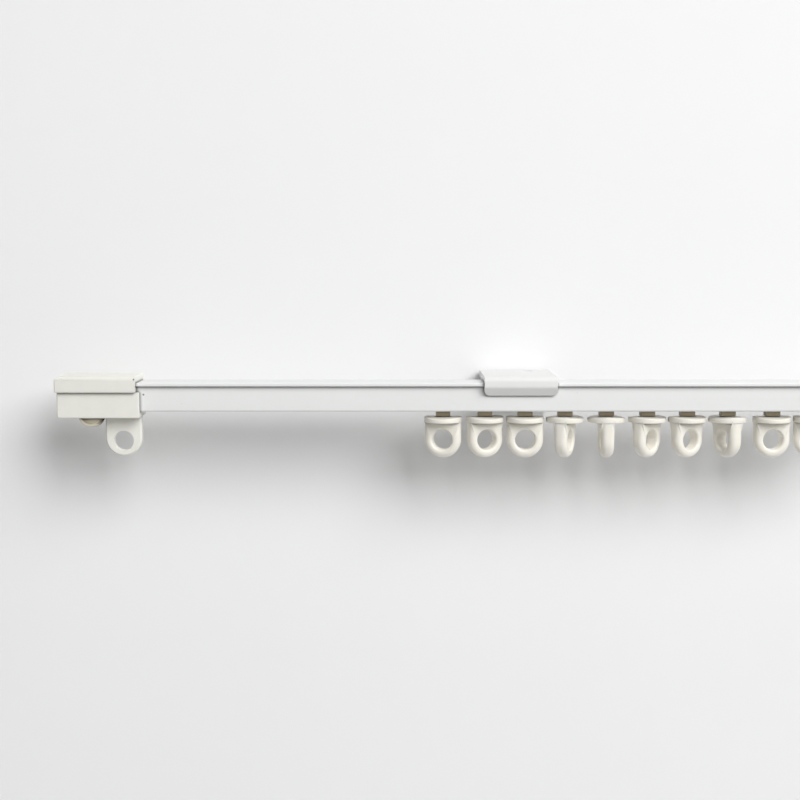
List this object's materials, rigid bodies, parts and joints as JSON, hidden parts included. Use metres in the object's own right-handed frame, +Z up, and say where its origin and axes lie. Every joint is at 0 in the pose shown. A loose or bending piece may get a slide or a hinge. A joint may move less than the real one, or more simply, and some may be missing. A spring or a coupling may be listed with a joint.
{
  "type": "curtain track",
  "caption": "Wall-mounted curtain track: slotted rail on two brackets, end caps with fixed eyes, and wheeled runners with swivel eyes.",
  "frame": {"origin": "on the wall plane, midway between the two screw holes of the left bracket", "axes": "+X along the track to the right, +Y into the wall, +Z up"},
  "size_m": [0.619, 0.0443, 0.0348],
  "materials": {
    "rail_paint": "satin white paint on extruded aluminium",
    "cap_plastic": "matt ivory moulded plastic",
    "screw_plating": "bright nickel plating",
    "nut_steel": "zinc plated steel",
    "bracket_paint": "satin white paint",
    "latch_plastic": "matt white moulded plastic",
    "carriage_plastic": "matt olive brown moulded plastic",
    "wheel_plastic": "smooth white moulded plastic",
    "eye_plastic": "satin ivory moulded plastic"
  },
  "bodies": {
    "track": {"rail": "rail_paint", "end_cap_left": "cap_plastic", "end_cap_right": "cap_plastic", "cap_screw_left": "screw_plating", "cap_screw_right": "screw_plating", "cap_nut_left": "nut_steel", "cap_nut_right": "nut_steel", "bracket_left": "bracket_paint", "bracket_right": "bracket_paint"},
    "latch_left": {"latch_left": "latch_plastic"},
    "latch_right": {"latch_right": "latch_plastic"},
    "runner_01": {"carriage_01": "carriage_plastic"},
    "wheelset_01": {"wheelset_01": "wheel_plastic"},
    "swivel_01": {"eye_01": "eye_plastic"},
    "runner_02": {"carriage_02": "carriage_plastic"},
    "wheelset_02": {"wheelset_02": "wheel_plastic"},
    "swivel_02": {"eye_02": "eye_plastic"},
    "runner_03": {"carriage_03": "carriage_plastic"},
    "wheelset_03": {"wheelset_03": "wheel_plastic"},
    "swivel_03": {"eye_03": "eye_plastic"},
    "runner_04": {"carriage_04": "carriage_plastic"},
    "wheelset_04": {"wheelset_04": "wheel_plastic"},
    "swivel_04": {"eye_04": "eye_plastic"},
    "runner_05": {"carriage_05": "carriage_plastic"},
    "wheelset_05": {"wheelset_05": "wheel_plastic"},
    "swivel_05": {"eye_05": "eye_plastic"},
    "runner_06": {"carriage_06": "carriage_plastic"},
    "wheelset_06": {"wheelset_06": "wheel_plastic"},
    "swivel_06": {"eye_06": "eye_plastic"},
    "runner_07": {"carriage_07": "carriage_plastic"},
    "wheelset_07": {"wheelset_07": "wheel_plastic"},
    "swivel_07": {"eye_07": "eye_plastic"},
    "runner_08": {"carriage_08": "carriage_plastic"},
    "wheelset_08": {"wheelset_08": "wheel_plastic"},
    "swivel_08": {"eye_08": "eye_plastic"},
    "runner_09": {"carriage_09": "carriage_plastic"},
    "wheelset_09": {"wheelset_09": "wheel_plastic"},
    "swivel_09": {"eye_09": "eye_plastic"},
    "runner_10": {"carriage_10": "carriage_plastic"},
    "wheelset_10": {"wheelset_10": "wheel_plastic"},
    "swivel_10": {"eye_10": "eye_plastic"}
  },
  "joints": [
    {"name": "latch_left_slide", "type": "slide", "parent": "track", "child": "latch_left", "axis": [0, 1, 0], "range_m": [0, 0.0025]},
    {"name": "latch_right_slide", "type": "slide", "parent": "track", "child": "latch_right", "axis": [0, 1, 0], "range_m": [0, 0.0025]},
    {"name": "runner_10_slide", "type": "slide", "parent": "track", "child": "runner_10", "axis": [1, 0, 0], "range_m": [-0.005, 0.261]},
    {"name": "runner_09_slide", "type": "slide", "parent": "runner_10", "child": "runner_09", "axis": [1, 0, 0], "range_m": [-0.012, 0.0008]},
    {"name": "runner_08_slide", "type": "slide", "parent": "runner_09", "child": "runner_08", "axis": [1, 0, 0], "range_m": [-0.012, 0.0025]},
    {"name": "runner_07_slide", "type": "slide", "parent": "runner_08", "child": "runner_07", "axis": [1, 0, 0], "range_m": [-0.012, 0.0008]},
    {"name": "runner_06_slide", "type": "slide", "parent": "runner_07", "child": "runner_06", "axis": [1, 0, 0], "range_m": [-0.012, 0.0006]},
    {"name": "runner_05_slide", "type": "slide", "parent": "runner_06", "child": "runner_05", "axis": [1, 0, 0], "range_m": [-0.012, 0.001]},
    {"name": "runner_04_slide", "type": "slide", "parent": "runner_05", "child": "runner_04", "axis": [1, 0, 0], "range_m": [-0.012, 0.0012]},
    {"name": "runner_03_slide", "type": "slide", "parent": "runner_04", "child": "runner_03", "axis": [1, 0, 0], "range_m": [-0.012, 0.0006]},
    {"name": "runner_02_slide", "type": "slide", "parent": "runner_03", "child": "runner_02", "axis": [1, 0, 0], "range_m": [-0.012, 0.0007]},
    {"name": "runner_01_slide", "type": "slide", "parent": "runner_02", "child": "runner_01", "axis": [1, 0, 0], "range_m": [-0.012, 0.0014]},
    {"name": "swivel_01_turn", "type": "hinge", "parent": "runner_01", "child": "swivel_01", "pos_m": [-0.0318, -0.033, -0.009], "axis": [0, 0, 1], "continuous": true},
    {"name": "wheelset_01_spin", "type": "hinge", "parent": "runner_01", "child": "wheelset_01", "pos_m": [-0.0318, -0.033, 0.0013], "axis": [0, 1, 0], "continuous": true},
    {"name": "swivel_02_turn", "type": "hinge", "parent": "runner_02", "child": "swivel_02", "pos_m": [-0.0143, -0.033, -0.009], "axis": [0, 0, 1], "continuous": true},
    {"name": "wheelset_02_spin", "type": "hinge", "parent": "runner_02", "child": "wheelset_02", "pos_m": [-0.0143, -0.033, 0.0013], "axis": [0, 1, 0], "continuous": true},
    {"name": "swivel_03_turn", "type": "hinge", "parent": "runner_03", "child": "swivel_03", "pos_m": [0.0025, -0.033, -0.009], "axis": [0, 0, 1], "continuous": true},
    {"name": "wheelset_03_spin", "type": "hinge", "parent": "runner_03", "child": "wheelset_03", "pos_m": [0.0025, -0.033, 0.0013], "axis": [0, 1, 0], "continuous": true},
    {"name": "swivel_04_turn", "type": "hinge", "parent": "runner_04", "child": "swivel_04", "pos_m": [0.0192, -0.033, -0.009], "axis": [0, 0, 1], "continuous": true},
    {"name": "wheelset_04_spin", "type": "hinge", "parent": "runner_04", "child": "wheelset_04", "pos_m": [0.0192, -0.033, 0.0013], "axis": [0, 1, 0], "continuous": true},
    {"name": "swivel_05_turn", "type": "hinge", "parent": "runner_05", "child": "swivel_05", "pos_m": [0.0365, -0.033, -0.009], "axis": [0, 0, 1], "continuous": true},
    {"name": "wheelset_05_spin", "type": "hinge", "parent": "runner_05", "child": "wheelset_05", "pos_m": [0.0365, -0.033, 0.0013], "axis": [0, 1, 0], "continuous": true},
    {"name": "swivel_06_turn", "type": "hinge", "parent": "runner_06", "child": "swivel_06", "pos_m": [0.0536, -0.033, -0.009], "axis": [0, 0, 1], "continuous": true},
    {"name": "wheelset_06_spin", "type": "hinge", "parent": "runner_06", "child": "wheelset_06", "pos_m": [0.0536, -0.033, 0.0013], "axis": [0, 1, 0], "continuous": true},
    {"name": "swivel_07_turn", "type": "hinge", "parent": "runner_07", "child": "swivel_07", "pos_m": [0.0703, -0.033, -0.009], "axis": [0, 0, 1], "continuous": true},
    {"name": "wheelset_07_spin", "type": "hinge", "parent": "runner_07", "child": "wheelset_07", "pos_m": [0.0703, -0.033, 0.0013], "axis": [0, 1, 0], "continuous": true},
    {"name": "swivel_08_turn", "type": "hinge", "parent": "runner_08", "child": "swivel_08", "pos_m": [0.0872, -0.033, -0.009], "axis": [0, 0, 1], "continuous": true},
    {"name": "wheelset_08_spin", "type": "hinge", "parent": "runner_08", "child": "wheelset_08", "pos_m": [0.0872, -0.033, 0.0013], "axis": [0, 1, 0], "continuous": true},
    {"name": "swivel_09_turn", "type": "hinge", "parent": "runner_09", "child": "swivel_09", "pos_m": [0.1058, -0.033, -0.009], "axis": [0, 0, 1], "continuous": true},
    {"name": "wheelset_09_spin", "type": "hinge", "parent": "runner_09", "child": "wheelset_09", "pos_m": [0.1058, -0.033, 0.0013], "axis": [0, 1, 0], "continuous": true},
    {"name": "swivel_10_turn", "type": "hinge", "parent": "runner_10", "child": "swivel_10", "pos_m": [0.1227, -0.033, -0.009], "axis": [0, 0, 1], "continuous": true},
    {"name": "wheelset_10_spin", "type": "hinge", "parent": "runner_10", "child": "wheelset_10", "pos_m": [0.1227, -0.033, 0.0013], "axis": [0, 1, 0], "continuous": true}
  ]
}
